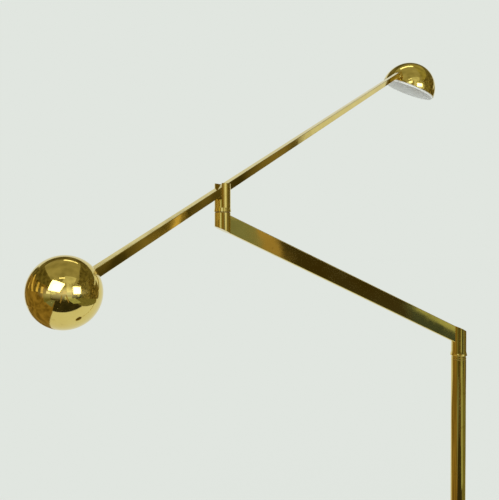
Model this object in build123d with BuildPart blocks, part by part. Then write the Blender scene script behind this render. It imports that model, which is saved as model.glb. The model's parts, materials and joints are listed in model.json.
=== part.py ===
from build123d import *
import os
from math import asin, cos, degrees, radians, sin, sqrt

# Counterbalance floor lamp, in millimetres and degrees.
# Origin: centre of the base on the floor, +Z up, the arm runs from the post towards -X.

# Fits
fit_gap = 0.05          # radial gap of pieces that are pressed, screwed or plugged together
running_gap = 0.03      # radial gap of a shaft that turns in its hole
turning_gap = 0.1       # flat gap between faces that turn on each other
loose_gap = 0.3         # gap around pieces that only have to clear each other

# Base
cover_radius = 145.0
cover_wall = 1.2
cover_edge_radius = 5.0
weight_thickness = 20.0
pad_thickness = 2.0
pad_margin = 9.0        # the felt stops this far inside the cover's rim
nut_recess_radius = 15.0
base_washer_radius = 13.0
base_washer_thickness = 2.0
base_nut_flats = 17.0
base_nut_thickness = 5.0

# Cable gland in the back of the base
gland_height = 11.0
gland_radius = 4.5
gland_flange_radius = 6.5
gland_flange_thickness = 2.0
gland_depth = 14.0
gland_bore_radius = 3.1

# Push switch on the base
switch_distance = 95.0  # from the post axis, towards the front
switch_body_radius = 8.0
switch_body_height = 15.0
switch_button_radius = 6.0
switch_button_rise = 6.0
switch_button_sunk = 8.0
switch_well_depth = 12.0
switch_bezel_radius = 11.0
switch_bezel_height = 2.5
switch_bezel_edge = 1.0

# Post
post_radius = 10.5
post_wall = 1.5
bearing_height = 1000.0  # underside of the arm's hub above the floor
foot_plug_height = 30.0
post_stud_radius = 5.0
post_stud_bore_radius = 3.5
post_stud_engagement = 24.0
collar_radius = 23.0
collar_height = 9.0
collar_edge_radius = 4.0
lead_radius = 2.75

# Bearing on top of the post
bush_flange_height = 3.5
bush_flange_edge = 0.8
bush_length = 30.0
pivot_washer_radius = 10.1
pivot_washer_thickness = 2.4
pivot_washer_edge = 0.5
arm_stud_radius = 5.0
arm_stud_bore_radius = 3.25
arm_stud_engagement = 12.0
arm_nut_flats = 14.0
arm_nut_thickness = 5.0
stud_end = 1.0           # thread that stands out of a nut

# Arm
arm_reach = 355.0        # post axis to fork axis, level
arm_slope = 25.0
arm_lift = 27.5          # arm centreline above the bearing, on the post axis
arm_height = 21.5
arm_thickness = 10.0
arm_wall = 1.5
hub_skirt_radius = 11.8
hub_skirt_height = 6.0
lead_hole_radius = 3.25
tip_hub_rise = 11.0      # top of the tip hub above the arm centreline
tip_bearing_length = 9.0
tip_recess_radius = 7.5
tip_cap_thickness = 2.0

# Fork
fork_height = 36.6
fork_skirt_radius = 11.2
fork_skirt_height = 5.0
fork_edge = 0.6
fork_slot_width = 11.0
pivot_rise = 29.5        # tilt pin above the fork's underside
slot_floor_drop = 14.0   # slot floor below the tilt pin
fork_washer_radius = 9.7
fork_washer_thickness = 0.8
fork_stud_radius = 4.0
fork_stud_bore_radius = 2.5
fork_stud_engagement = 10.0
fork_nut_flats = 12.0
fork_nut_thickness = 3.5

# Tilt pin
tilt_pin_radius = 2.5
tilt_pin_length = 20.0
tilt_pin_slot = 0.8
tilt_washer_radius = 4.5
tilt_washer_thickness = 0.4
tilt_sleeve_wall = 1.0

# Rod and counterweight
rod_size = 10.0
rod_wall = 1.0
rod_corner = 0.5
rod_azimuth = 41.3       # heading of the shade end, from +X towards +Y
rod_elevation = 24.9
head_reach = 760.0       # tilt pin to the knuckle's pin
rod_end_setback = 7.0    # end of the tube short of the knuckle's pin
ball_reach = 274.5       # tilt pin to the ball's centre
ball_radius = 35.0
ball_socket_depth = 22.0
set_screw_radius = 2.5
set_screw_length = 10.0
rod_lead_radius = 2.0
rod_lead_start = 24.0
rod_lead_slot_length = 9.0
rod_lead_slot_width = 5.0
rod_lead_slot_place = 15.0

# Knuckle
eye_plug_length = 18.0
eye_thickness = 4.0
eye_height = 8.0
eye_radius = 5.0
clevis_radius = 6.5
clevis_width = 12.0
clevis_slot_gap = 0.15
clevis_base = 1.6        # solid metal behind the slot
neck_radius = 5.0
head_bend = 42.0         # stub below the rod's line
knuckle_pin_radius = 2.0
knuckle_head_radius = 3.4
knuckle_head_thickness = 1.2
stub_length = 8.5        # knuckle's pin to the dome's skin
stem_radius = 4.0
stem_bore_radius = 2.0
shade_washer_radius = 7.0
shade_washer_thickness = 1.0
shade_nut_flats = 12.0
shade_nut_thickness = 4.0

# Shade
dome_radius = 63.0
dome_cut = 3.5           # rim plane above the centre of the dome's sphere
dome_wall = 1.2
reflector_wall = 1.0
reflector_lip = 4.0      # how far the reflector stands out below the brass rim
stub_latitude = 12.0     # stub above the dome's equator, seen from its centre
dome_roll = -24.3        # turn of the dome about its stub

# Lamp holder and bulb
bracket_thickness = 1.5
bracket_width = 12.0
bracket_foot = 8.0       # half the height of the bracket's foot
bracket_shelf = 14.0
lamp_height = 25.0       # bulb axis above the dome's centre
holder_radius = 11.0
holder_length = 30.0
holder_bore_radius = 7.3
holder_bore_depth = 22.0
holder_screw_radius = 2.0
holder_screw_head_radius = 3.5
holder_screw_head_thickness = 1.8
holder_screw_length = 6.0
bulb_cap_radius = 7.0
bulb_cap_length = 22.0
bulb_radius = 10.5
bulb_neck_radius = 6.6
bulb_neck_length = 8.0
bulb_length = 44.0

# Heights of the base and the post
weight_top = pad_thickness + weight_thickness
cover_top = weight_top + cover_wall
bush_top = bearing_height - turning_gap - pivot_washer_thickness
post_top = bush_top - bush_flange_height
bush_bottom = post_top - bush_length
arm_stud_top = bearing_height + arm_stud_engagement
arm_stud_bottom = bush_bottom - turning_gap - arm_nut_thickness - stud_end
nut_recess_depth = base_washer_thickness + base_nut_thickness + stud_end
post_bore_radius = post_radius - post_wall
weight_radius = cover_radius - cover_wall - loose_gap

# Directions and planes of the arm
slope = radians(arm_slope)
arm_direction = Vector(-cos(slope), 0, sin(slope))
arm_up = Vector(sin(slope), 0, cos(slope))
arm_foot = Vector(0, 0, bearing_height + arm_lift)
arm_length = arm_reach / cos(slope)
arm_tip = arm_foot + arm_direction * arm_length
arm_plane = Plane(origin=arm_foot, x_dir=(0, 1, 0), z_dir=arm_direction)
arm_top_plane = Plane(origin=arm_foot + arm_up * (arm_height / 2), x_dir=(0, 1, 0), z_dir=arm_up)
arm_bottom_plane = Plane(origin=arm_foot - arm_up * (arm_height / 2), x_dir=(0, 1, 0), z_dir=arm_up)

# Heights on the fork's axis
tip_top = arm_tip.Z + tip_hub_rise
tip_recess_top = tip_top - tip_bearing_length
fork_bottom = tip_top + fork_washer_thickness + turning_gap
fork_stud_top = fork_bottom + fork_stud_engagement
fork_stud_bottom = tip_recess_top - turning_gap - fork_nut_thickness - stud_end
fork_foot = Vector(-arm_reach, 0, fork_bottom)
pivot = fork_foot + Vector(0, 0, pivot_rise)
slot_floor = pivot.Z - slot_floor_drop

# Directions and planes of the rod: its section has x across and y down
azimuth = radians(rod_azimuth)
heading = Vector(cos(azimuth), sin(azimuth), 0)
tilt_axis = Vector(sin(azimuth), -cos(azimuth), 0)


def raised(angle):
    return heading * cos(radians(angle)) + Vector(0, 0, 1) * sin(radians(angle))


rod_direction = raised(rod_elevation)
rod_up = raised(rod_elevation + 90)
rod_plane = Plane(origin=pivot, x_dir=tilt_axis, z_dir=rod_direction)
tilt_plane = Plane(origin=pivot, x_dir=rod_direction, z_dir=tilt_axis)
ball_centre = pivot - rod_direction * ball_reach
ball_face = -ball_reach + ball_radius
rod_start = ball_face - ball_socket_depth + fit_gap
rod_end = head_reach - rod_end_setback
rod_bore = rod_size - 2 * rod_wall

# Directions and planes of the head
knuckle = pivot + rod_direction * head_reach
stub_direction = raised(rod_elevation - head_bend)
stub_up = raised(rod_elevation - head_bend + 90)
stub_plane = Plane(origin=knuckle, x_dir=tilt_axis, z_dir=stub_direction)
eye_plane = Plane(origin=knuckle, x_dir=rod_direction, z_dir=tilt_axis)
clevis_plane = Plane(origin=knuckle, x_dir=stub_direction, z_dir=tilt_axis)
dome_centre = knuckle + stub_direction * (stub_length + dome_radius)
latitude = radians(stub_latitude)
roll = radians(dome_roll)
outward = stub_direction * -1
dome_side = stub_up * cos(roll) + outward.cross(stub_up) * sin(roll)
dome_axis = outward * sin(latitude) + dome_side * cos(latitude)
dome_inward = (dome_axis * sin(latitude) - outward) * (1 / cos(latitude))
dome_section = Plane(origin=dome_centre, x_dir=dome_inward, z_dir=dome_inward.cross(dome_axis))
dome_pole = Axis(dome_centre, dome_axis)
stem_plane = Plane(origin=dome_centre, x_dir=tilt_axis, z_dir=outward)
dome_inner_radius = dome_radius - dome_wall
reflector_radius = dome_inner_radius - loose_gap
reflector_inner_radius = reflector_radius - reflector_wall
foot_corner = (bracket_foot + bracket_thickness)**2 + (bracket_width / 2)**2
foot_sagitta = reflector_inner_radius - sqrt(reflector_inner_radius**2 - foot_corner)
foot_radius = reflector_inner_radius - foot_sagitta - fit_gap  # outer face of the bracket's foot
stem_end = stub_length + dome_radius - foot_radius + bracket_thickness + shade_nut_thickness + stud_end


def ring(outer, inner):
    Circle(outer)
    Circle(inner, mode=Mode.SUBTRACT)


def hexagon(flats, bore):
    RegularPolygon(radius=flats / 2, side_count=6, major_radius=False)
    Circle(bore, mode=Mode.SUBTRACT)


def rim_reach(radius):
    return sqrt(radius**2 - dome_cut**2)


def rim_arc(radius):
    rim_angle = degrees(asin(dome_cut / radius))
    CenterArc((0, 0), radius, rim_angle, 90 - rim_angle)


# Base

with BuildPart() as base_pad:
    with BuildSketch(Plane.XY):
        Circle(cover_radius - pad_margin)
    extrude(amount=pad_thickness)

switch_plane = Plane(origin=(0, -switch_distance, cover_top))
gland_plane = Plane(origin=(0, cover_radius, gland_height), x_dir=(1, 0, 0), z_dir=(0, 1, 0))

with BuildPart() as base_weight:
    with BuildSketch(Plane.XY.offset(pad_thickness)):
        Circle(weight_radius)
    extrude(amount=weight_thickness)
    fillet(edges().group_by(Axis.Z)[-1], cover_edge_radius)
    with BuildSketch(Plane.XY.offset(pad_thickness)):
        Circle(post_stud_radius + loose_gap)
    extrude(amount=weight_thickness, mode=Mode.SUBTRACT)
    with BuildSketch(Plane.XY.offset(pad_thickness)):
        Circle(nut_recess_radius)
    extrude(amount=nut_recess_depth, mode=Mode.SUBTRACT)
    with BuildSketch(switch_plane.offset(-cover_wall)):
        Circle(switch_body_radius + loose_gap)
    extrude(amount=-switch_body_height - loose_gap, mode=Mode.SUBTRACT)
    # channel for the lead from the gland to the nut recess, open below
    with BuildSketch(Plane.XY.offset(pad_thickness)):
        with Locations((0, cover_radius / 2)):
            Rectangle(2 * (gland_radius + loose_gap), cover_radius)
    extrude(amount=gland_height + gland_radius + loose_gap - pad_thickness, mode=Mode.SUBTRACT)

with BuildPart() as base_cover:
    with BuildSketch(Plane.XY.offset(pad_thickness)):
        Circle(cover_radius)
    extrude(amount=cover_top - pad_thickness)
    fillet(edges().group_by(Axis.Z)[-1], cover_edge_radius)
    offset(amount=-cover_wall, openings=faces().sort_by(Axis.Z)[0])
    with BuildSketch(Plane.XY.offset(weight_top)):
        Circle(post_stud_radius + loose_gap)
        with Locations((0, -switch_distance)):
            Circle(switch_button_radius + loose_gap)
    extrude(amount=cover_wall, mode=Mode.SUBTRACT)
    with BuildSketch(gland_plane):
        Circle(gland_radius + fit_gap)
    extrude(amount=-gland_depth, mode=Mode.SUBTRACT)

with BuildPart() as base_washer:
    with BuildSketch(Plane.XY.offset(pad_thickness + stud_end + base_nut_thickness)):
        ring(base_washer_radius, post_stud_radius + fit_gap)
    extrude(amount=base_washer_thickness)

with BuildPart() as base_nut:
    with BuildSketch(Plane.XY.offset(pad_thickness + stud_end)):
        hexagon(base_nut_flats, post_stud_radius + fit_gap)
    extrude(amount=base_nut_thickness)

with BuildPart() as post_stud:
    with BuildSketch(Plane.XY.offset(pad_thickness)):
        ring(post_stud_radius, post_stud_bore_radius)
    extrude(amount=cover_top + post_stud_engagement - pad_thickness)

with BuildPart() as cable_gland:
    with BuildSketch(gland_plane.offset(loose_gap)):
        Circle(gland_flange_radius)
    extrude(amount=gland_flange_thickness)
    chamfer(edges().group_by(Axis.Y)[-1], gland_flange_thickness / 4)
    with BuildSketch(gland_plane.offset(loose_gap)):
        Circle(gland_radius)
    extrude(amount=-gland_depth)
    with BuildSketch(gland_plane.offset(loose_gap + gland_flange_thickness)):
        Circle(gland_bore_radius)
    extrude(amount=-gland_depth - gland_flange_thickness, mode=Mode.SUBTRACT)

with BuildPart() as switch_body:
    with BuildSketch(switch_plane.offset(-cover_wall)):
        Circle(switch_body_radius)
    extrude(amount=-switch_body_height)
    with BuildSketch(switch_plane.offset(-cover_wall)):
        Circle(switch_button_radius + running_gap)
    extrude(amount=-switch_well_depth, mode=Mode.SUBTRACT)

with BuildPart() as switch_bezel:
    with BuildSketch(switch_plane):
        ring(switch_bezel_radius, switch_button_radius + loose_gap)
    extrude(amount=switch_bezel_height)
    chamfer(edges().group_by(Axis.Z)[-1].sort_by(SortBy.RADIUS)[-1], switch_bezel_edge)

with BuildPart() as switch_button:
    with BuildSketch(switch_plane.offset(switch_button_rise)):
        Circle(switch_button_radius)
    extrude(amount=-switch_button_rise - switch_button_sunk)
    fillet(edges().group_by(Axis.Z)[-1], switch_bezel_edge)

# Post

with BuildPart() as post_tube:
    with BuildSketch(Plane.XY.offset(cover_top)):
        ring(post_radius, post_bore_radius)
    extrude(amount=post_top - cover_top)

with BuildPart() as post_foot:
    with BuildSketch(Plane.XY.offset(cover_top)):
        ring(post_bore_radius - fit_gap, post_stud_radius + fit_gap)
    extrude(amount=foot_plug_height)

with BuildPart() as post_collar:
    with BuildSketch(Plane.XY.offset(cover_top)):
        ring(collar_radius, post_radius + fit_gap)
    extrude(amount=collar_height)
    fillet(edges().group_by(Axis.Z)[-1].sort_by(SortBy.RADIUS)[-1], collar_edge_radius)

with BuildPart() as post_bush:
    with BuildSketch(Plane.XY.offset(post_top)):
        Circle(post_radius)
    extrude(amount=bush_flange_height)
    chamfer(edges(), bush_flange_edge)
    with BuildSketch(Plane.XY.offset(post_top)):
        Circle(post_bore_radius - fit_gap)
    extrude(amount=-bush_length)
    with BuildSketch(Plane.XY.offset(bush_top)):
        Circle(arm_stud_radius + running_gap)
    extrude(amount=bush_bottom - bush_top, mode=Mode.SUBTRACT)

with BuildPart() as pivot_washer:
    with BuildSketch(Plane.XY.offset(bush_top)):
        ring(pivot_washer_radius, arm_stud_radius + running_gap)
    extrude(amount=pivot_washer_thickness)
    chamfer(edges().filter_by(GeomType.CIRCLE).sort_by(SortBy.RADIUS)[-2:], pivot_washer_edge)

with BuildPart() as post_lead:
    with BuildSketch(Plane.XY.offset(pad_thickness + stud_end)):
        Circle(lead_radius)
    extrude(amount=bearing_height - pad_thickness - stud_end)

# Arm

with BuildPart() as arm_hub:
    with BuildSketch(Plane.XZ):
        with BuildLine():
            Polyline(
                (0, bearing_height),
                (hub_skirt_radius, bearing_height),
                (post_radius, bearing_height + hub_skirt_height),
                (post_radius, bearing_height + arm_lift + arm_height),
                (0, bearing_height + arm_lift + arm_height),
                close=True,
            )
        make_face()
    revolve(axis=Axis.Z)
    split(bisect_by=arm_top_plane, keep=Keep.BOTTOM)
    with BuildSketch(Plane.XY.offset(bearing_height)):
        Circle(arm_stud_radius + fit_gap)
    extrude(amount=arm_stud_engagement + turning_gap, mode=Mode.SUBTRACT)
    with BuildSketch(Plane.XY.offset(bearing_height)):
        Circle(lead_hole_radius)
    extrude(amount=arm_lift, mode=Mode.SUBTRACT)
    with BuildSketch(arm_plane):
        Circle(lead_hole_radius)
    extrude(amount=2 * post_radius, mode=Mode.SUBTRACT)

with BuildPart() as arm_pivot_stud:
    with BuildSketch(Plane.XY.offset(arm_stud_top)):
        ring(arm_stud_radius, arm_stud_bore_radius)
    extrude(amount=arm_stud_bottom - arm_stud_top)

with BuildPart() as arm_pivot_nut:
    with BuildSketch(Plane.XY.offset(bush_bottom - turning_gap)):
        hexagon(arm_nut_flats, arm_stud_radius + fit_gap)
    extrude(amount=-arm_nut_thickness)

with BuildPart() as arm_tube:
    with BuildSketch(arm_plane):
        Rectangle(arm_thickness, arm_height)
        Rectangle(arm_thickness - 2 * arm_wall, arm_height - 2 * arm_wall, mode=Mode.SUBTRACT)
    extrude(amount=arm_length)
    with BuildSketch(Plane.XY.offset(bearing_height)):
        with Locations((0, 0), (-arm_reach, 0)):
            Circle(post_radius + fit_gap)
    extrude(amount=fork_bottom - bearing_height, mode=Mode.SUBTRACT)

with BuildPart() as arm_tip_hub:
    with BuildSketch(Plane.XY.offset(tip_top)):
        with Locations((-arm_reach, 0)):
            Circle(post_radius)
    extrude(amount=-tip_hub_rise - 2 * arm_height)
    split(bisect_by=arm_bottom_plane, keep=Keep.TOP)
    with BuildSketch(Plane.XY.offset(tip_top)):
        with Locations((-arm_reach, 0)):
            Circle(fork_stud_radius + running_gap)
    extrude(amount=-tip_bearing_length, mode=Mode.SUBTRACT)
    with BuildSketch(Plane.XY.offset(tip_recess_top)):
        with Locations((-arm_reach, 0)):
            Circle(tip_recess_radius)
    extrude(amount=-2 * arm_height, mode=Mode.SUBTRACT)
    with BuildSketch(arm_plane.offset(arm_length - 2 * post_radius)):
        Circle(lead_hole_radius)
    extrude(amount=2 * post_radius - tip_recess_radius / 2, mode=Mode.SUBTRACT)

with BuildPart() as tip_cap:
    with BuildSketch(Plane.XY.offset(tip_recess_top)):
        with Locations((-arm_reach, 0)):
            Circle(tip_recess_radius - fit_gap)
    extrude(amount=-2 * arm_height)
    split(bisect_by=arm_bottom_plane, keep=Keep.TOP)
    split(bisect_by=arm_bottom_plane.offset(tip_cap_thickness), keep=Keep.BOTTOM)

with BuildPart() as arm_lead:
    with BuildSketch(arm_plane.offset(arm_stud_bore_radius)):
        Circle(lead_radius)
    extrude(amount=arm_length - arm_stud_bore_radius - post_radius - lead_radius)

# Fork

with BuildPart() as fork_washer:
    with BuildSketch(Plane.XY.offset(tip_top)):
        with Locations((-arm_reach, 0)):
            ring(fork_washer_radius, fork_stud_radius + running_gap)
    extrude(amount=fork_washer_thickness)

fork_section = Plane(origin=fork_foot, x_dir=(1, 0, 0), z_dir=(0, -1, 0))
slot_plane = Plane(origin=(-arm_reach, 0, slot_floor), x_dir=heading, z_dir=(0, 0, 1))

with BuildPart() as fork:
    with BuildSketch(fork_section):
        with BuildLine():
            Polyline(
                (0, 0),
                (fork_skirt_radius, 0),
                (post_radius, fork_skirt_height),
                (post_radius, fork_height - fork_edge),
                (post_radius - fork_edge, fork_height),
                (0, fork_height),
                close=True,
            )
        make_face()
    revolve(axis=Axis(fork_foot, (0, 0, 1)))
    with BuildSketch(slot_plane):
        Rectangle(4 * post_radius, fork_slot_width)
    extrude(amount=fork_height, mode=Mode.SUBTRACT)
    with BuildSketch(tilt_plane):
        Circle(tilt_pin_radius + fit_gap)
    extrude(amount=2 * post_radius, both=True, mode=Mode.SUBTRACT)
    with BuildSketch(Plane(fork_foot)):
        Circle(fork_stud_radius + fit_gap)
    extrude(amount=fork_stud_engagement + turning_gap, mode=Mode.SUBTRACT)
    with BuildSketch(Plane(fork_foot)):
        Circle(fork_stud_bore_radius)
    extrude(amount=fork_height, mode=Mode.SUBTRACT)

with BuildPart() as fork_stud:
    with BuildSketch(Plane(fork_foot).offset(fork_stud_engagement)):
        ring(fork_stud_radius, fork_stud_bore_radius)
    extrude(amount=fork_stud_bottom - fork_stud_top)

with BuildPart() as fork_nut:
    with BuildSketch(Plane(fork_foot).offset(tip_recess_top - turning_gap - fork_bottom)):
        hexagon(fork_nut_flats, fork_stud_radius + fit_gap)
    extrude(amount=-fork_nut_thickness)

with BuildPart() as tilt_pin:
    with BuildSketch(tilt_plane):
        Circle(tilt_pin_radius)
    extrude(amount=tilt_pin_length / 2, both=True)
    with BuildSketch(tilt_plane.offset(tilt_pin_length / 2)):
        Rectangle(tilt_pin_slot, 2 * tilt_pin_radius)
    extrude(amount=-tilt_pin_slot, mode=Mode.SUBTRACT)

with BuildPart() as tilt_washers:
    for side in (-1, 1):
        with BuildSketch(tilt_plane.offset(side * (fork_slot_width / 2 - fit_gap))):
            ring(tilt_washer_radius, tilt_pin_radius + fit_gap)
        extrude(amount=-side * tilt_washer_thickness)

# Rod and counterweight

with BuildPart() as rod_tube:
    with BuildSketch(rod_plane.offset(rod_start)):
        RectangleRounded(rod_size, rod_size, rod_corner)
        Rectangle(rod_bore, rod_bore, mode=Mode.SUBTRACT)
    extrude(amount=rod_end - rod_start)
    with BuildSketch(tilt_plane):
        Circle(tilt_pin_radius + running_gap)
    extrude(amount=rod_size, both=True, mode=Mode.SUBTRACT)
    # slot in the underside where the lead comes in
    with BuildSketch(Plane(origin=pivot, x_dir=rod_direction, z_dir=rod_up)):
        with Locations((rod_lead_slot_place, 0)):
            SlotOverall(rod_lead_slot_length, rod_lead_slot_width)
    extrude(amount=-rod_size, mode=Mode.SUBTRACT)

with BuildPart() as tilt_sleeve:
    with BuildSketch(tilt_plane):
        ring(tilt_pin_radius + running_gap + tilt_sleeve_wall, tilt_pin_radius + running_gap)
    extrude(amount=rod_bore / 2 - fit_gap, both=True)

screw_place = ball_face - ball_socket_depth / 2
screw_plane = Plane(origin=pivot + rod_direction * screw_place, x_dir=rod_up, z_dir=tilt_axis * -1)

with BuildPart() as counterweight_ball:
    with Locations(ball_centre):
        Sphere(ball_radius)
    with BuildSketch(rod_plane.offset(ball_face - ball_socket_depth)):
        Rectangle(rod_size + 2 * fit_gap, rod_size + 2 * fit_gap)
    extrude(amount=ball_socket_depth, mode=Mode.SUBTRACT)
    with BuildSketch(screw_plane):
        Circle(set_screw_radius + fit_gap)
    extrude(amount=ball_radius, mode=Mode.SUBTRACT)

with BuildPart() as ball_set_screw:
    with BuildSketch(screw_plane.offset(rod_size / 2 + fit_gap)):
        Circle(set_screw_radius)
    extrude(amount=set_screw_length)

with BuildPart() as rod_lead:
    with BuildSketch(rod_plane.offset(rod_lead_start)):
        with Locations((0, rod_bore / 2 - rod_lead_radius - loose_gap)):
            Circle(rod_lead_radius)
    extrude(amount=rod_end - eye_plug_length - turning_gap - rod_lead_start)

with BuildPart() as rod_eye:
    with BuildSketch(rod_plane.offset(rod_end)):
        Rectangle(rod_bore - 2 * fit_gap, rod_bore - 2 * fit_gap)
    extrude(amount=-eye_plug_length)
    with BuildSketch(eye_plane):
        Circle(eye_radius)
        with Locations((-rod_end_setback / 2, 0)):
            Rectangle(rod_end_setback, eye_height - 2 * fit_gap)
    extrude(amount=eye_thickness / 2, both=True)
    with BuildSketch(eye_plane):
        Circle(knuckle_pin_radius + running_gap)
    extrude(amount=eye_thickness, both=True, mode=Mode.SUBTRACT)

# Knuckle

clevis_slot_depth = eye_radius + loose_gap

with BuildPart() as head_clevis:
    with BuildSketch(clevis_plane):
        Circle(clevis_radius)
        with Locations(((clevis_slot_depth + clevis_base) / 2, 0)):
            Rectangle(clevis_slot_depth + clevis_base, 2 * clevis_radius)
    extrude(amount=clevis_width / 2, both=True)
    with BuildSketch(clevis_plane):
        with Locations((clevis_slot_depth - clevis_radius, 0)):
            Rectangle(2 * clevis_radius, 4 * clevis_radius)
    extrude(amount=eye_thickness / 2 + clevis_slot_gap, both=True, mode=Mode.SUBTRACT)
    with BuildSketch(stub_plane.offset(clevis_slot_depth + clevis_base)):
        Circle(neck_radius)
    extrude(amount=stub_length - shade_washer_thickness - clevis_slot_depth - clevis_base)
    with BuildSketch(stub_plane.offset(stub_length - shade_washer_thickness)):
        Circle(stem_radius)
    extrude(amount=stem_end - stub_length + shade_washer_thickness)
    with BuildSketch(stub_plane.offset(stem_end)):
        Circle(stem_bore_radius)
    extrude(amount=clevis_slot_depth - stem_end, mode=Mode.SUBTRACT)
    with BuildSketch(clevis_plane):
        Circle(knuckle_pin_radius + fit_gap)
    extrude(amount=clevis_width, both=True, mode=Mode.SUBTRACT)

with BuildPart() as knuckle_pin:
    with BuildSketch(clevis_plane):
        Circle(knuckle_pin_radius)
    extrude(amount=clevis_width / 2, both=True)
    with BuildSketch(clevis_plane.offset(clevis_width / 2)):
        Circle(knuckle_head_radius)
    extrude(amount=knuckle_head_thickness)

with BuildPart() as shade_washer:
    with BuildSketch(stub_plane.offset(stub_length - shade_washer_thickness)):
        ring(shade_washer_radius, stem_radius + fit_gap)
    extrude(amount=shade_washer_thickness)

with BuildPart() as shade_nut:
    with BuildSketch(stem_plane.offset(foot_radius - bracket_thickness - turning_gap)):
        hexagon(shade_nut_flats, stem_radius + fit_gap)
    extrude(amount=-shade_nut_thickness)

# Shade

with BuildPart() as dome_shade:
    with BuildSketch(dome_section):
        with BuildLine():
            rim_arc(dome_radius)
            Line((0, dome_radius), (0, dome_inner_radius))
            rim_arc(dome_inner_radius)
            Line((rim_reach(dome_inner_radius), dome_cut), (rim_reach(dome_radius), dome_cut))
        make_face()
    revolve(axis=dome_pole)
    with BuildSketch(stem_plane):
        Circle(stem_radius + running_gap)
    extrude(amount=2 * dome_radius, mode=Mode.SUBTRACT)

with BuildPart() as reflector:
    with BuildSketch(dome_section):
        with BuildLine():
            rim_arc(reflector_radius)
            Line((0, reflector_radius), (0, reflector_inner_radius))
            rim_arc(reflector_inner_radius)
            Polyline(
                (rim_reach(reflector_inner_radius), dome_cut),
                (rim_reach(reflector_inner_radius), dome_cut - reflector_lip),
                (rim_reach(reflector_radius), dome_cut - reflector_lip),
                (rim_reach(reflector_radius), dome_cut),
            )
        make_face()
    revolve(axis=dome_pole)
    with BuildSketch(stem_plane):
        Circle(stem_radius + running_gap)
    extrude(amount=2 * dome_radius, mode=Mode.SUBTRACT)

# Lamp holder and bulb, in the dome's section: x from the stub inwards, y up from the dome's centre
foot_middle = foot_radius - bracket_thickness / 2
foot_x = -foot_middle * cos(latitude)
foot_y = foot_middle * sin(latitude)
foot_low = (foot_x - bracket_foot * sin(latitude), foot_y - bracket_foot * cos(latitude))
foot_high = (foot_x + bracket_foot * sin(latitude), foot_y + bracket_foot * cos(latitude))
bracket_back = foot_high[0] + bracket_shelf
shelf_end = (bracket_back, foot_high[1])
bracket_top = (bracket_back, lamp_height + bracket_foot)
holder_back = bracket_back + bracket_thickness / 2 + fit_gap
lamp_plane = Plane(
    origin=dome_section.from_local_coords(Vector(holder_back, lamp_height, 0)),
    x_dir=dome_axis,
    z_dir=dome_inward,
)
lamp_line = Axis(lamp_plane.origin, dome_inward)

with BuildPart() as lamp_bracket:
    with BuildSketch(dome_section):
        with BuildLine() as strip:
            Polyline(foot_low, foot_high, shelf_end, bracket_top)
        trace(strip.line, line_width=bracket_thickness)
    extrude(amount=bracket_width / 2, both=True)
    with BuildSketch(stem_plane):
        Circle(stem_radius + running_gap)
    extrude(amount=2 * dome_radius, mode=Mode.SUBTRACT)
    with BuildSketch(lamp_plane):
        Circle(holder_screw_radius + fit_gap)
    extrude(amount=-bracket_shelf / 2, mode=Mode.SUBTRACT)

with BuildPart() as holder_screw:
    with BuildSketch(lamp_plane.offset(-bracket_thickness - 2 * fit_gap)):
        Circle(holder_screw_head_radius)
    extrude(amount=-holder_screw_head_thickness)
    with BuildSketch(lamp_plane.offset(-bracket_thickness - 2 * fit_gap)):
        Circle(holder_screw_radius)
    extrude(amount=bracket_thickness + holder_screw_length)

with BuildPart() as lamp_holder:
    with BuildSketch(lamp_plane):
        Circle(holder_radius)
    extrude(amount=holder_length)
    with BuildSketch(lamp_plane):
        Circle(holder_screw_radius + fit_gap)
    extrude(amount=holder_screw_length, mode=Mode.SUBTRACT)
    with BuildSketch(lamp_plane.offset(holder_length)):
        Circle(holder_bore_radius)
    extrude(amount=-holder_bore_depth, mode=Mode.SUBTRACT)

bulb_foot = holder_length - holder_bore_depth + turning_gap

with BuildPart() as bulb_cap:
    with BuildSketch(lamp_plane.offset(bulb_foot)):
        Circle(bulb_cap_radius)
    extrude(amount=bulb_cap_length)

bulb_section = Plane(
    origin=lamp_plane.origin + dome_inward * (bulb_foot + bulb_cap_length),
    x_dir=dome_inward,
    z_dir=dome_inward.cross(dome_axis),
)

with BuildPart() as bulb_glass:
    with BuildSketch(bulb_section):
        with BuildLine():
            Line((0, 0), (0, bulb_neck_radius))
            Line((0, bulb_neck_radius), (bulb_neck_length, bulb_radius))
            Line((bulb_neck_length, bulb_radius), (bulb_length - bulb_radius, bulb_radius))
            CenterArc((bulb_length - bulb_radius, 0), bulb_radius, 0, 90)
            Line((bulb_length, 0), (0, 0))
        make_face()
    revolve(axis=lamp_line)

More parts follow.
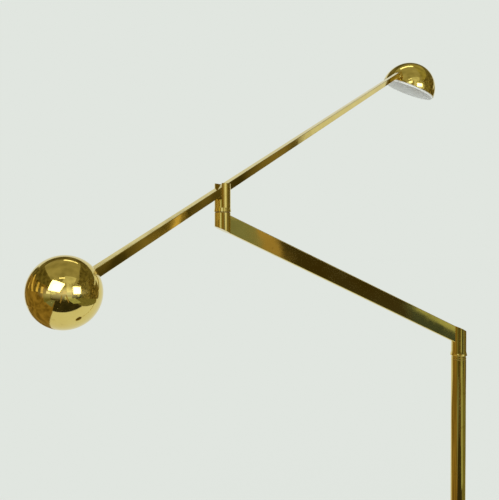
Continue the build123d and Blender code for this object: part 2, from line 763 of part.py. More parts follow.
pieces = {
    "base_pad": base_pad,
    "base_weight": base_weight,
    "base_cover": base_cover,
    "base_washer": base_washer,
    "base_nut": base_nut,
    "post_stud": post_stud,
    "cable_gland": cable_gland,
    "switch_body": switch_body,
    "switch_bezel": switch_bezel,
    "switch_button": switch_button,
    "post_tube": post_tube,
    "post_foot": post_foot,
    "post_collar": post_collar,
    "post_bush": post_bush,
    "pivot_washer": pivot_washer,
    "post_lead": post_lead,
    "arm_hub": arm_hub,
    "arm_pivot_stud": arm_pivot_stud,
    "arm_pivot_nut": arm_pivot_nut,
    "arm_tube": arm_tube,
    "arm_tip_hub": arm_tip_hub,
    "tip_cap": tip_cap,
    "arm_lead": arm_lead,
    "fork_washer": fork_washer,
    "fork": fork,
    "fork_stud": fork_stud,
    "fork_nut": fork_nut,
    "tilt_pin": tilt_pin,
    "tilt_washers": tilt_washers,
    "rod_tube": rod_tube,
    "tilt_sleeve": tilt_sleeve,
    "counterweight_ball": counterweight_ball,
    "ball_set_screw": ball_set_screw,
    "rod_lead": rod_lead,
    "rod_eye": rod_eye,
    "head_clevis": head_clevis,
    "knuckle_pin": knuckle_pin,
    "shade_washer": shade_washer,
    "shade_nut": shade_nut,
    "dome_shade": dome_shade,
    "reflector": reflector,
    "lamp_bracket": lamp_bracket,
    "holder_screw": holder_screw,
    "lamp_holder": lamp_holder,
    "bulb_cap": bulb_cap,
    "bulb_glass": bulb_glass,
}

os.makedirs("parts", exist_ok=True)
for label, piece in pieces.items():
    piece.part.label = label
    export_step(piece.part, f"parts/{label}.step")

for name, point in (("tilt pin", pivot), ("knuckle", knuckle), ("dome centre", dome_centre)):
    print(name, [round(value, 3) for value in point])
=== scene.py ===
import json
from math import cos, pi, radians, sin, sqrt

import bmesh
import bpy
from bmesh.types import BMEdge, BMFace, BMVert
from mathutils import Matrix, Vector


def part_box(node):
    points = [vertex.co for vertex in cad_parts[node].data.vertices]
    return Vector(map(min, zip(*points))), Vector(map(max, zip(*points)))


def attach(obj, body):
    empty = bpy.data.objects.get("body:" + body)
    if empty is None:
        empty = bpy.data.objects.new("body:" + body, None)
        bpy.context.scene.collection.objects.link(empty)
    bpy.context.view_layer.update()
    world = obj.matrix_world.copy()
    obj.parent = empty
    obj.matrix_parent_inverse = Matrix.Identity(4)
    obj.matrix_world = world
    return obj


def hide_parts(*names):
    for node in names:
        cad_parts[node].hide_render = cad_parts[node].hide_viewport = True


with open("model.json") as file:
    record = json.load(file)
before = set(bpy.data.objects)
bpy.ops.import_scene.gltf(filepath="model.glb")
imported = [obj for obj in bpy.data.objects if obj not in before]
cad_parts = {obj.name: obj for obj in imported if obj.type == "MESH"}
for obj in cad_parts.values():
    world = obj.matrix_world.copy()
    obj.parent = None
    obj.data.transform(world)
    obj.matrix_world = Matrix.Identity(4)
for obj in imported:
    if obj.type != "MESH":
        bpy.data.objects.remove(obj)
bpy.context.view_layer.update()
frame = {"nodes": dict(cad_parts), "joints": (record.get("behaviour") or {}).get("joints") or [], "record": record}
scene = bpy.context.scene
joints = {joint["name"]: joint for joint in frame["joints"]}
print("frame loaded,", len(frame["nodes"]), "nodes")

# points and directions that the joints give
pivot = Vector(joints["rod_tilt"]["pos_m"])
knuckle = Vector(joints["head_tilt"]["pos_m"])
tiltAxis = Vector(joints["rod_tilt"]["axis"]).normalized()
rodAxis = (knuckle - pivot).normalized()
stubAxis = Vector(joints["shade_swivel"]["axis"]).normalized()
forkAxisX = pivot.x

closeFit = 0.00005  # gap round a piece that sits in another
drillReach = 0.02  # half the length of a drill that goes right through
cutPast = 0.002  # how far a cutter stands out past a surface
sunkIn = 0.001  # how far joined shapes go into one another
samePlace = 1e-5  # what is nearer than this counts as one place
mergeDistance = 1e-7
sharpEdge = 35  # degrees that an edge turns before it gets rounded


def placed(origin, along, side):  # local Z runs along, local X to the side
    z = Vector(along).normalized()
    x = (Vector(side) - z * z.dot(Vector(side))).normalized()
    matrix = Matrix((x, z.cross(x), z)).transposed().to_4x4()
    matrix.translation = origin
    return matrix


def shifted(x, y, z):
    return Matrix.Translation((x, y, z))


def radiusOf(node):
    low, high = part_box(node)
    return (high.x - low.x) / 2


def reachOf(node, origin, direction):  # how far a node's solid runs along a slanted direction
    values = [(vert.co - origin).dot(direction) for vert in frame["nodes"][node].data.vertices]
    return min(values), max(values)


# mesh helpers

def everything(bm):
    return bm.verts[:] + bm.edges[:] + bm.faces[:]


def onlyKind(parts, kind):
    return [part for part in parts if isinstance(part, kind)]


def moved(bm, matrix):
    bmesh.ops.transform(bm, matrix=matrix, verts=bm.verts)


def turnOut(bm):  # faces point outwards
    bmesh.ops.recalc_face_normals(bm, faces=bm.faces)


def turned(outline, steps):  # outline: (radius, height) from axis to axis, or a ring's, which gets closed
    bm = bmesh.new()
    points = outline + outline[:1] if outline[0][0] else outline
    verts = [bm.verts.new((radius, 0, height)) for radius, height in points]
    edges = [bm.edges.new(pair) for pair in zip(verts, verts[1:])]
    bmesh.ops.spin(bm, geom=verts + edges, axis=(0, 0, 1), cent=(0, 0, 0), angle=2 * pi,
                   steps=steps, use_merge=True)
    bmesh.ops.remove_doubles(bm, verts=bm.verts, dist=mergeDistance)
    turnOut(bm)
    return bm


def ringOutline(outer, inner, low, high):
    return [(inner, low), (outer, low), (outer, high), (inner, high)]


def solidOutline(radius, low, high):
    return [(0, low), (radius, low), (radius, high), (0, high)]


def raised(bm, faces, height):  # extrudes upwards and gives the faces on top
    made = bmesh.ops.extrude_face_region(bm, geom=faces)["geom"]
    bmesh.ops.translate(bm, vec=(0, 0, height), verts=onlyKind(made, BMVert))
    return onlyKind(made, BMFace)


def rounded(bm, parts, width, segments=3, affect="EDGES"):
    bmesh.ops.bevel(bm, geom=parts, offset=width, offset_type="OFFSET", segments=segments,
                    profile=0.5, affect=affect, clamp_overlap=True, material=-1)


def soften(bm, width, segments=3, sharper=sharpEdge):
    rounded(bm, [edge for edge in bm.edges if len(edge.link_faces) == 2
                 and edge.calc_face_angle() > radians(sharper)], width, segments)


def roundShoulder(bm, radius, height, width):  # the upper outer edge of a turned piece
    shoulder = [edge for edge in bm.edges
                if all(vert.co.z > height - samePlace and vert.co.xy.length > radius - samePlace
                       for vert in edge.verts)]
    rounded(bm, shoulder, width, segments=8)


def drum(radius, low, high, matrix, sides=64):  # plain cylinder for drilling
    bm = bmesh.new()
    bmesh.ops.create_cone(bm, cap_ends=True, segments=sides, radius1=radius, radius2=radius,
                          depth=high - low, matrix=matrix @ shifted(0, 0, (low + high) / 2))
    return bm


def drill(radius, matrix):
    return drum(radius, -drillReach, drillReach, matrix)


def block(sizeX, sizeY, sizeZ, matrix):
    bm = bmesh.new()
    bmesh.ops.create_cube(bm, size=1, matrix=matrix @ Matrix.Diagonal((sizeX, sizeY, sizeZ, 1)))
    return bm


def objectFrom(name, bm):
    mesh = bpy.data.meshes.new(name)
    bm.to_mesh(mesh)
    bm.free()
    piece = bpy.data.objects.new(name, mesh)
    scene.collection.objects.link(piece)
    return piece


def combined(piece, bm, operation):
    tool = objectFrom("tool", bm)
    modifier = piece.modifiers.new("combine", "BOOLEAN")
    modifier.operation = operation
    modifier.solver = "EXACT"
    modifier.object = tool
    graph = bpy.context.evaluated_depsgraph_get()
    made = bpy.data.meshes.new_from_object(piece.evaluated_get(graph))
    piece.modifiers.clear()
    made.name = piece.name
    piece.data = made
    bpy.data.objects.remove(tool)


def drilled(piece, *tools):
    for bm in tools:
        combined(piece, bm, "DIFFERENCE")


def dressed(piece, body, slot, material, *nodes, smoothUnder=50):
    piece.data.materials.clear()
    piece.data.materials.append(material)
    piece.data.shade_smooth()
    piece.data.set_sharp_from_angle(angle=radians(smoothUnder))
    normals = piece.modifiers.new("flatFacesFirst", "WEIGHTED_NORMAL")
    normals.keep_sharp = True
    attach(piece, body)
    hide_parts(*nodes)
    return piece


# material helpers

def startMaterial(name):
    material = bpy.data.materials.new(name)
    material.use_nodes = True
    return material, material.node_tree, material.node_tree.nodes["Principled BSDF"]


def added(tree, kind, **sockets):
    node = tree.nodes.new(kind)
    for socket, value in sockets.items():
        node.inputs[socket].default_value = value
    return node


def ramp(tree, source, fromRange, toRange=(0.0, 1.0)):
    node = tree.nodes.new("ShaderNodeMapRange")
    for socket, value in zip(("From Min", "From Max", "To Min", "To Max"), (*fromRange, *toRange)):
        node.inputs[socket].default_value = value
    tree.links.new(source, node.inputs["Value"])
    return node.outputs["Result"]


def mixed(tree, factor, first, second):  # colours: a socket or four numbers each
    node = tree.nodes.new("ShaderNodeMix")
    node.data_type = "RGBA"
    for index, colour in ((6, first), (7, second)):  # the two colour sockets of a Mix node
        if isinstance(colour, tuple):
            node.inputs[index].default_value = colour
        else:
            tree.links.new(colour, node.inputs[index])
    tree.links.new(factor, node.inputs[0])
    return node.outputs[2]


def noise(tree, vector, scale, detail, roughness):
    node = added(tree, "ShaderNodeTexNoise", Scale=scale, Detail=detail, Roughness=roughness)
    tree.links.new(vector, node.inputs["Vector"])
    return node.outputs["Fac"]


def objectCoordinates(tree):
    return tree.nodes.new("ShaderNodeTexCoord").outputs["Object"]


def mapped(tree, vector, **sockets):
    node = added(tree, "ShaderNodeMapping", **sockets)
    tree.links.new(vector, node.inputs["Vector"])
    return node.outputs["Vector"]


def ownCoordinates(tree, matrix):  # object coordinates turned to the piece's own axes
    inverse = matrix.inverted()
    return mapped(tree, objectCoordinates(tree), Rotation=inverse.to_euler(), Location=inverse.translation)


def bumped(tree, shader, heights):  # heights: (socket, depth in metres)
    last = None
    for socket, depth in heights:
        node = added(tree, "ShaderNodeBump", Strength=1.0, Distance=depth)
        tree.links.new(socket, node.inputs["Height"])
        if last:
            tree.links.new(last, node.inputs["Normal"])
        last = node.outputs["Normal"]
    tree.links.new(last, shader.inputs["Normal"])


# brass: lacquered and polished, a little tarnished, with fine polishing lines

brassLook = {  # each noise has its scale, detail and roughness
    "bright": (0.805, 0.640, 0.205, 1.0), "deep": (0.725, 0.545, 0.148, 1.0),
    "clouds": (14.0, 5.0, 0.6), "cloudRange": (0.35, 0.70),
    "tarnish": (0.400, 0.255, 0.055, 1.0), "tarnishMost": 0.55,
    "spots": (160.0, 3.0, 0.5), "spotRange": (0.66, 0.80),
    "roughness": (0.045, 0.120),  # polished and handled
    "smudges": (38.0, 6.0, 0.62), "smudgeRange": (0.42, 0.72),
    "lines": (1.0, 3.0, 0.6), "lineDepth": 0.0000006,
    "waves": (1.0, 2.0, 0.4), "waveScale": (30.0, 30.0, 30.0), "waveDepth": 0.00002,
}


def brass(name, matrix, lineScale, waveScale=brassLook["waveScale"], waveDepth=brassLook["waveDepth"]):
    material, tree, shader = startMaterial(name)
    own = ownCoordinates(tree, matrix)
    clouds = ramp(tree, noise(tree, own, *brassLook["clouds"]), brassLook["cloudRange"])
    spots = ramp(tree, noise(tree, own, *brassLook["spots"]), brassLook["spotRange"],
                 (0.0, brassLook["tarnishMost"]))
    sheen = ramp(tree, noise(tree, own, *brassLook["smudges"]), brassLook["smudgeRange"],
                 brassLook["roughness"])
    lines = noise(tree, mapped(tree, own, Scale=lineScale), *brassLook["lines"])
    waves = noise(tree, mapped(tree, own, Scale=waveScale), *brassLook["waves"])
    tone = mixed(tree, clouds, brassLook["bright"], brassLook["deep"])
    tree.links.new(mixed(tree, spots, tone, brassLook["tarnish"]), shader.inputs["Base Color"])
    tree.links.new(sheen, shader.inputs["Roughness"])
    shader.inputs["Metallic"].default_value = 1.0
    bumped(tree, shader, [(lines, brassLook["lineDepth"]), (waves, waveDepth)])
    return material


grainLook = {"mottleShare": 0.08, "mottle": (4.0, 0.6), "mottleRange": (0.35, 0.65),
             "fine": (3.0, 0.6), "fineRange": (0.3, 0.7), "roughnessSpread": 0.15}


def plainFinish(name, colour, second, roughness, grain, grainDepth, metal=0.0):  # grain: grains per metre
    material, tree, shader = startMaterial(name)
    coordinates = objectCoordinates(tree)
    mottle = noise(tree, coordinates, grain * grainLook["mottleShare"], *grainLook["mottle"])
    fine = noise(tree, coordinates, grain, *grainLook["fine"])
    spread = roughness * grainLook["roughnessSpread"]
    tone = mixed(tree, ramp(tree, mottle, grainLook["mottleRange"]), colour, second)
    tree.links.new(tone, shader.inputs["Base Color"])
    tree.links.new(ramp(tree, fine, grainLook["fineRange"], (roughness - spread, roughness + spread)),
                   shader.inputs["Roughness"])
    shader.inputs["Metallic"].default_value = metal
    bumped(tree, shader, [(fine, grainDepth)])
    return material


# the inside colours are the lip white darkened as painted shade, the dusty one with dust on top of that; the two
# heights set where the painted shade begins and where it is full
enamelLook = {"lip": (0.93, 0.935, 0.925, 1.0), "inside": (0.73, 0.725, 0.72, 1.0),
              "dusty": (0.64, 0.615, 0.58, 1.0), "dust": (32.0, 2.0, 0.5), "dustRange": (0.35, 0.65),
              "paintedShadeFrom": 0.001, "paintedShadeTo": 0.020, "roughness": 0.45, "gloss": 0.12}


def enamel(name, matrix):  # white at the lip, with painted shade greying it towards the crown and random dust patches inside
    material, tree, shader = startMaterial(name)
    own = ownCoordinates(tree, matrix)
    parts = tree.nodes.new("ShaderNodeSeparateXYZ")
    tree.links.new(own, parts.inputs[0])
    # painted shade: the colour goes from the lip white to the shaded inside along the dome's axis
    depth = ramp(tree, parts.outputs["Z"], (enamelLook["paintedShadeFrom"], enamelLook["paintedShadeTo"]))
    # random dust patches over the painted shade of the inside
    dust = ramp(tree, noise(tree, own, *enamelLook["dust"]), enamelLook["dustRange"])
    inside = mixed(tree, dust, enamelLook["inside"], enamelLook["dusty"])
    tree.links.new(mixed(tree, depth, enamelLook["lip"], inside), shader.inputs["Base Color"])
    shader.inputs["Roughness"].default_value = enamelLook["roughness"]
    shader.inputs["Specular IOR Level"].default_value = enamelLook["gloss"]
    return material


# where the slanted pieces lie

rodPlace = placed(pivot, rodAxis, tiltAxis)
armSizes = {"slope": radians(25), "lift": 0.0275, "height": 0.0215, "thickness": 0.010, "edge": 0.0012,
            "hubRadius": radiusOf("post_tube") + closeFit, "acrossFaces": 10}
slope = armSizes["slope"]
armFoot = Vector((0, 0, joints["arm_swing"]["pos_m"][2] + armSizes["lift"]))
armAxis = Vector((-cos(slope), 0, sin(slope)))
armUp = Vector((sin(slope), 0, cos(slope)))
armPlace = placed(armFoot, armAxis, (0, 1, 0))

domeSizes = {"radius": 0.063, "wall": 0.0012, "stubLength": 0.0085, "latitude": radians(12), "cut": 0.0035,
             "roll": radians(-24.3), "rim": 0.00045, "holeRadius": 0.00403, "holeFrom": 0.03, "holeTo": 0.08,
             "steps": 160}
outward = -stubAxis
stubUp = tiltAxis.cross(stubAxis)
domeCentre = knuckle + stubAxis * (domeSizes["stubLength"] + domeSizes["radius"])
domeSide = stubUp * cos(domeSizes["roll"]) + outward.cross(stubUp) * sin(domeSizes["roll"])
domeAxis = outward * sin(domeSizes["latitude"]) + domeSide * cos(domeSizes["latitude"])
domeInward = (domeAxis * sin(domeSizes["latitude"]) - outward) / cos(domeSizes["latitude"])
domePlace = placed(domeCentre, domeAxis, domeInward)
stemPlace = placed(domeCentre, outward, tiltAxis)
stubPlace = placed(knuckle, stubAxis, tiltAxis)
ballLow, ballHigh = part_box("counterweight_ball")
ballCentre = (ballLow + ballHigh) / 2
ballRadius = (ballHigh.z - ballLow.z) / 2
ballPlace = placed(ballCentre, rodAxis, tiltAxis)
forkPlace = placed((forkAxisX, 0, 0), (0, 0, 1), (rodAxis.x, rodAxis.y, 0))

# finishes; a brass takes its polishing lines per metre along the piece's own axes

upright = Matrix.Identity(4)
drawnLines = (1500.0, 1500.0, 14.0)
drawnBrass = brass("drawnBrassPost", upright, drawnLines)
armBrass = brass("brassFlatArm", armPlace, drawnLines, waveScale=(60.0, 60.0, 26.0), waveDepth=0.000035)
rodBrass = brass("brassSquareRod", rodPlace, drawnLines, waveScale=(60.0, 60.0, 18.0), waveDepth=0.000025)
ballBrass = brass("brassBall", ballPlace, (700.0, 700.0, 700.0))
domeBrass = brass("brassDome", domePlace, (260.0, 260.0, 1600.0))
turnedBrass = brass("turnedBrass", upright, (40.0, 40.0, 1600.0))
baseBrass = brass("brassBaseCover", upright, (500.0, 500.0, 500.0))
headBrass = brass("brassKnuckle", stubPlace, drawnLines)
steelFinish = plainFinish("zincedSteel", (0.62, 0.62, 0.63, 1), (0.52, 0.52, 0.53, 1),
                          roughness=0.30, grain=900.0, grainDepth=0.000004, metal=1.0)
ironFinish = plainFinish("castIronWeight", (0.11, 0.11, 0.115, 1), (0.17, 0.165, 0.16, 1),
                         roughness=0.62, grain=700.0, grainDepth=0.00006, metal=1.0)
feltFinish = plainFinish("greenBlackFelt", (0.020, 0.024, 0.020, 1), (0.038, 0.042, 0.036, 1),
                         roughness=0.92, grain=2600.0, grainDepth=0.00012)
blackFinish = plainFinish("blackPhenolic", (0.016, 0.015, 0.014, 1), (0.026, 0.022, 0.019, 1),
                          roughness=0.36, grain=1500.0, grainDepth=0.000012)
fibreFinish = plainFinish("brownFibre", (0.20, 0.095, 0.045, 1), (0.27, 0.14, 0.07, 1),
                          roughness=0.55, grain=1800.0, grainDepth=0.00002)
sheathFinish = plainFinish("leadSheath", (0.030, 0.030, 0.030, 1), (0.045, 0.045, 0.045, 1),
                           roughness=0.50, grain=1200.0, grainDepth=0.00001)
enamelFinish = enamel("whiteEnamel", domePlace)
opalFinish = plainFinish("opalGlass", (0.90, 0.895, 0.87, 1), (0.86, 0.85, 0.82, 1),
                         roughness=0.16, grain=300.0, grainDepth=0.000002)
print("finishes mixed")

# base: cover, felt, collar, switch and cable gland

baseSizes = {"edgeRadius": 0.005, "wall": 0.0012, "steps": 192, "softEdge": 0.0004, "studHole": 0.0055,
             "collarRound": 0.004, "smallSteps": 96}
switchSizes = {"hole": 0.0063, "bezelRound": 0.0008, "dome": 0.0012, "edge": 0.0005, "sharper": 15,
               "shoulderOut": 0.62, "shoulderDrop": 0.28, "steps": 64}  # shares of radius and dome
glandSizes = {"hole": 0.00455, "bore": 0.0031, "flange": 0.002, "steps": 64}
coverLow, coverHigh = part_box("base_cover")
coverRadius = coverHigh.x
coverInside = coverRadius - baseSizes["wall"]
coverUnder = coverHigh.z - baseSizes["wall"]
buttonLow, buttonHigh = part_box("switch_button")
buttonCentre = (buttonLow + buttonHigh) / 2
glandLow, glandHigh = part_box("cable_gland")
glandPlace = placed((0, 0, (glandLow.z + glandHigh.z) / 2), (0, 1, 0), (1, 0, 0))

cover = turned([(baseSizes["studHole"], coverUnder), (coverInside, coverUnder), (coverInside, coverLow.z),
                (coverRadius, coverLow.z), (coverRadius, coverHigh.z), (baseSizes["studHole"], coverHigh.z)],
               baseSizes["steps"])
roundShoulder(cover, coverRadius, coverHigh.z, baseSizes["edgeRadius"])
baseCover = objectFrom("baseCover", cover)
drilled(baseCover, drill(switchSizes["hole"], shifted(buttonCentre.x, buttonCentre.y, coverHigh.z)),
        drill(glandSizes["hole"], glandPlace @ shifted(0, 0, coverRadius)))
dressed(baseCover, "root", "polished_brass", baseBrass, "base_cover")

padLow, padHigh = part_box("base_pad")
felt = turned(solidOutline(padHigh.x, padLow.z, padHigh.z), baseSizes["steps"])
soften(felt, baseSizes["softEdge"])
dressed(objectFrom("feltPad", felt), "root", "felt", feltFinish, "base_pad")

collarLow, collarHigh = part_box("post_collar")
collar = turned(ringOutline(collarHigh.x, radiusOf("post_tube") + closeFit, collarLow.z, collarHigh.z),
                baseSizes["smallSteps"])
roundShoulder(collar, collarHigh.x, collarHigh.z, baseSizes["collarRound"])
dressed(objectFrom("postCollar", collar), "root", "polished_brass", turnedBrass, "post_collar")

switchPlace = shifted(buttonCentre.x, buttonCentre.y, 0)
bezelLow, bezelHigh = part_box("switch_bezel")
bezel = turned(ringOutline(radiusOf("switch_bezel"), switchSizes["hole"], bezelLow.z, bezelHigh.z),
               baseSizes["smallSteps"])
soften(bezel, switchSizes["bezelRound"], segments=4)
moved(bezel, switchPlace)
dressed(objectFrom("switchBezel", bezel), "root", "polished_brass", turnedBrass, "switch_bezel")

buttonRadius = radiusOf("switch_button")
button = turned([(0, buttonLow.z), (buttonRadius, buttonLow.z),
                 (buttonRadius, buttonHigh.z - switchSizes["dome"]),
                 (buttonRadius * switchSizes["shoulderOut"],
                  buttonHigh.z - switchSizes["dome"] * switchSizes["shoulderDrop"]),
                 (0, buttonHigh.z)], switchSizes["steps"])
soften(button, switchSizes["edge"], sharper=switchSizes["sharper"])
moved(button, switchPlace)
dressed(objectFrom("switchButton", button), "button", "polished_brass", turnedBrass, "switch_button")

glandRadius = (glandHigh.x - glandLow.x) / 2
glandBody = glandSizes["hole"] - closeFit
flangeStart = glandHigh.y - glandSizes["flange"]
gland = turned([(glandSizes["bore"], glandLow.y), (glandBody, glandLow.y), (glandBody, flangeStart),
                (glandRadius, flangeStart), (glandRadius, glandHigh.y), (glandSizes["bore"], glandHigh.y)],
               glandSizes["steps"])
soften(gland, baseSizes["softEdge"])
moved(gland, glandPlace)
dressed(objectFrom("cableGland", gland), "root", "black_plastic", blackFinish, "cable_gland")
print("base dressed")

# post with the bearing on its top

postSizes = {"wall": 0.0015, "edge": 0.0003, "bushEdge": 0.0007, "washerEdge": 0.0004, "studHole": 0.00503,
             "steps": 128}
postLow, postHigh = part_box("post_tube")
postBore = postHigh.x - postSizes["wall"]
post = turned(ringOutline(postHigh.x, postBore, postLow.z, postHigh.z), postSizes["steps"])
soften(post, postSizes["edge"])
dressed(objectFrom("postTube", post), "root", "polished_brass", drawnBrass, "post_tube")

bushLow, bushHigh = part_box("post_bush")
plugRadius = postBore - closeFit
bush = turned([(postSizes["studHole"], bushLow.z), (plugRadius, bushLow.z), (plugRadius, postHigh.z),
               (bushHigh.x, postHigh.z), (bushHigh.x, bushHigh.z), (postSizes["studHole"], bushHigh.z)],
              postSizes["steps"])
soften(bush, postSizes["bushEdge"])
dressed(objectFrom("postBush", bush), "root", "polished_brass", turnedBrass, "post_bush")

washerLow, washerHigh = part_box("pivot_washer")
washer = turned(ringOutline(washerHigh.x, postSizes["studHole"], washerLow.z, washerHigh.z),
                postSizes["steps"])
soften(washer, postSizes["washerEdge"])
dressed(objectFrom("pivotWasher", washer), "root", "polished_brass", turnedBrass, "pivot_washer")
print("post dressed")

# arm with a hub at each end

hubSizes = {"skirtHeight": 0.006, "edge": 0.00035, "sharper": 30, "recessRadius": 0.0075, "bearing": 0.009,
            "recessPast": 0.01, "spacerHole": 0.00403, "spacerSteps": 96, "steps": 128}


def trimmedAlongArm(bm, side):  # cuts a hub level with the arm's upper (1) or lower (-1) face and closes it
    cut = bmesh.ops.bisect_plane(bm, geom=everything(bm), dist=mergeDistance, plane_no=armUp,
                                 plane_co=armFoot + armUp * (side * armSizes["height"] / 2),
                                 clear_outer=side > 0, clear_inner=side < 0)
    bmesh.ops.contextual_create(bm, geom=onlyKind(cut["geom_cut"], BMEdge))
    soften(bm, hubSizes["edge"], sharper=hubSizes["sharper"])


hubLow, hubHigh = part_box("arm_hub")
hubRadius = postHigh.x
hub = turned([(0, hubLow.z), (hubHigh.x, hubLow.z), (hubRadius, hubLow.z + hubSizes["skirtHeight"]),
              (hubRadius, hubHigh.z + hubRadius), (0, hubHigh.z + hubRadius)], hubSizes["steps"])
trimmedAlongArm(hub, 1)
dressed(objectFrom("armHub", hub), "arm", "polished_brass", drawnBrass, "arm_hub")

forkFoot = shifted(forkAxisX, 0, 0)
tipLow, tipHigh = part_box("arm_tip_hub")
tip = turned(solidOutline(hubRadius, tipLow.z - hubRadius, tipHigh.z), hubSizes["steps"])
moved(tip, forkFoot)
trimmedAlongArm(tip, -1)
armTipHub = objectFrom("armTipHub", tip)
drilled(armTipHub, drum(hubSizes["recessRadius"], tipLow.z - hubSizes["recessPast"],
                        tipHigh.z - hubSizes["bearing"], forkFoot))
dressed(armTipHub, "arm", "polished_brass", drawnBrass, "arm_tip_hub")

arm = bmesh.new()
bmesh.ops.create_grid(arm, x_segments=armSizes["acrossFaces"], y_segments=1, size=0.5)  # one metre square
bmesh.ops.scale(arm, vec=(armSizes["thickness"], armSizes["height"], 1), verts=arm.verts)
raised(arm, arm.faces[:], -forkAxisX / cos(slope))
turnOut(arm)
longEdges = [edge for edge in arm.edges if edge.calc_length() > 2 * armSizes["height"]
             and edge.calc_face_angle() > radians(sharpEdge)]
rounded(arm, longEdges, armSizes["edge"])
for vert in arm.verts:  # both ends follow the round of their hub
    across, rise = vert.co.x, -vert.co.y
    reach = sqrt(armSizes["hubRadius"] ** 2 - across ** 2)
    level = reach if vert.co.z < armSizes["height"] else -forkAxisX - reach
    vert.co.z = (level + rise * sin(slope)) / cos(slope)
moved(arm, armPlace)
dressed(objectFrom("armTube", arm), "arm", "polished_brass", armBrass, "arm_tube")

spacerLow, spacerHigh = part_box("fork_washer")
spacer = turned(ringOutline(radiusOf("fork_washer"), hubSizes["spacerHole"], spacerLow.z, spacerHigh.z),
                hubSizes["spacerSteps"])
moved(spacer, forkFoot)
dressed(objectFrom("forkWasher", spacer), "arm", "fibre", fibreFinish, "fork_washer")
print("arm dressed")

# fork with its slot, tilt pin and washers

forkSizes = {"skirtHeight": 0.005, "slotWidth": 0.011, "slotDrop": 0.014, "edge": 0.00025, "steps": 144,
             "pinHole": 0.00255, "leadHole": 0.0025, "leadCut": 0.006}
pinSizes = {"radius": 0.0025, "length": 0.020, "slot": 0.0008, "edge": 0.00025, "washerRadius": 0.0045,
            "washerThickness": 0.0004, "steps": 64}
forkLow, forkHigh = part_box("fork")
slotFloor = pivot.z - forkSizes["slotDrop"]
fork = bmesh.new()
bmesh.ops.create_circle(fork, cap_ends=True, segments=forkSizes["steps"], radius=radiusOf("fork"))
for side in (-1, 1):
    bmesh.ops.bisect_plane(fork, geom=everything(fork), dist=mergeDistance,
                           plane_co=(0, side * forkSizes["slotWidth"] / 2, 0), plane_no=(0, 1, 0))
moved(fork, shifted(0, 0, forkLow.z))
top = raised(fork, fork.faces[:], forkSizes["skirtHeight"])
for face in top:  # the skirt narrows to the hub's radius
    for vert in face.verts:
        if vert.co.xy.length > hubRadius + samePlace:
            vert.co.xy = vert.co.xy * (hubRadius / vert.co.xy.length)
top = raised(fork, top, slotFloor - forkLow.z - forkSizes["skirtHeight"])
prongs = [face for face in top if abs(face.calc_center_median().y) > forkSizes["slotWidth"] / 4]
raised(fork, prongs, forkHigh.z - slotFloor)
turnOut(fork)
soften(fork, forkSizes["edge"])
moved(fork, forkPlace)
pinPlace = placed(pivot, tiltAxis, rodAxis)
forkPiece = objectFrom("slottedFork", fork)
drilled(forkPiece, drill(forkSizes["pinHole"], pinPlace),
        drum(forkSizes["leadHole"], slotFloor - forkSizes["leadCut"], slotFloor + forkSizes["leadCut"],
             forkFoot))
dressed(forkPiece, "fork", "polished_brass", drawnBrass, "fork")

halfPin = pinSizes["length"] / 2
pin = turned(solidOutline(pinSizes["radius"], -halfPin, halfPin), pinSizes["steps"])
soften(pin, pinSizes["edge"])
moved(pin, pinPlace)
tiltPin = objectFrom("tiltPin", pin)
drilled(tiltPin, block(pinSizes["slot"], 3 * pinSizes["radius"], 2 * pinSizes["slot"],
                       pinPlace @ shifted(0, 0, halfPin)))
dressed(tiltPin, "fork", "polished_brass", turnedBrass, "tilt_pin")

washerFoot = closeFit - forkSizes["slotWidth"] / 2
washers = turned(ringOutline(pinSizes["washerRadius"], forkSizes["pinHole"], washerFoot,
                             washerFoot + pinSizes["washerThickness"]), pinSizes["steps"])
second = bmesh.ops.duplicate(washers, geom=everything(washers))["geom"]
bmesh.ops.translate(washers, vec=(0, 0, -2 * washerFoot - pinSizes["washerThickness"]),
                    verts=onlyKind(second, BMVert))
moved(washers, pinPlace)
dressed(objectFrom("tiltWashers", washers), "fork", "fibre", fibreFinish, "tilt_washers")
print("fork dressed")

# square rod, counterweight ball and its set screw

rodSizes = {"size": 0.010, "wall": 0.001, "corner": 0.0005, "cornerSegments": 4, "endSetback": 0.007,
            "socket": 0.022, "pinHole": 0.00253}
slotSizes = {"place": 0.015, "length": 0.009, "width": 0.005, "depth": 0.008, "lift": 0.006, "steps": 48}
screwSizes = {"radius": 0.0025, "length": 0.010, "edge": 0.0003, "key": 0.0013, "keyDepth": 0.003,
              "keySides": 6, "holeFrom": 0.004, "holeTo": 0.04, "steps": 48}
ballSteps = 160
socketMouth = ballRadius - (ballCentre - pivot).length
rodStart = socketMouth - rodSizes["socket"] + closeFit
rodEnd = (knuckle - pivot).length - rodSizes["endSetback"]

rod = bmesh.new()
bmesh.ops.create_grid(rod, x_segments=1, y_segments=1, size=rodSizes["size"] / 2)
rounded(rod, rod.verts[:], rodSizes["corner"], rodSizes["cornerSegments"], affect="VERTICES")
wall = bmesh.ops.inset_region(rod, faces=rod.faces[:], thickness=rodSizes["wall"], use_even_offset=True,
                              use_boundary=True)["faces"]
bmesh.ops.delete(rod, geom=[face for face in rod.faces if face not in wall], context="FACES")
raised(rod, rod.faces[:], rodEnd - rodStart)
turnOut(rod)
moved(rod, rodPlace @ shifted(0, 0, rodStart))
rodTube = objectFrom("squareRod", rod)
rodDown = tiltAxis.cross(rodAxis) * -1
slotPlace = placed(pivot + rodAxis * slotSizes["place"], rodDown, rodAxis)
slotCutter = drum(slotSizes["width"] / 2, -slotSizes["depth"] / 2, slotSizes["depth"] / 2, upright,
                  slotSizes["steps"])
for vert in slotCutter.verts:  # a long hole: both halves of the drum move apart
    vert.co.x += (slotSizes["length"] - slotSizes["width"]) / 2 * (1 if vert.co.x > 0 else -1)
moved(slotCutter, slotPlace @ shifted(0, 0, slotSizes["lift"]))
drilled(rodTube, drill(rodSizes["pinHole"], pinPlace), slotCutter)
dressed(rodTube, "rod", "polished_brass", rodBrass, "rod_tube", smoothUnder=35)

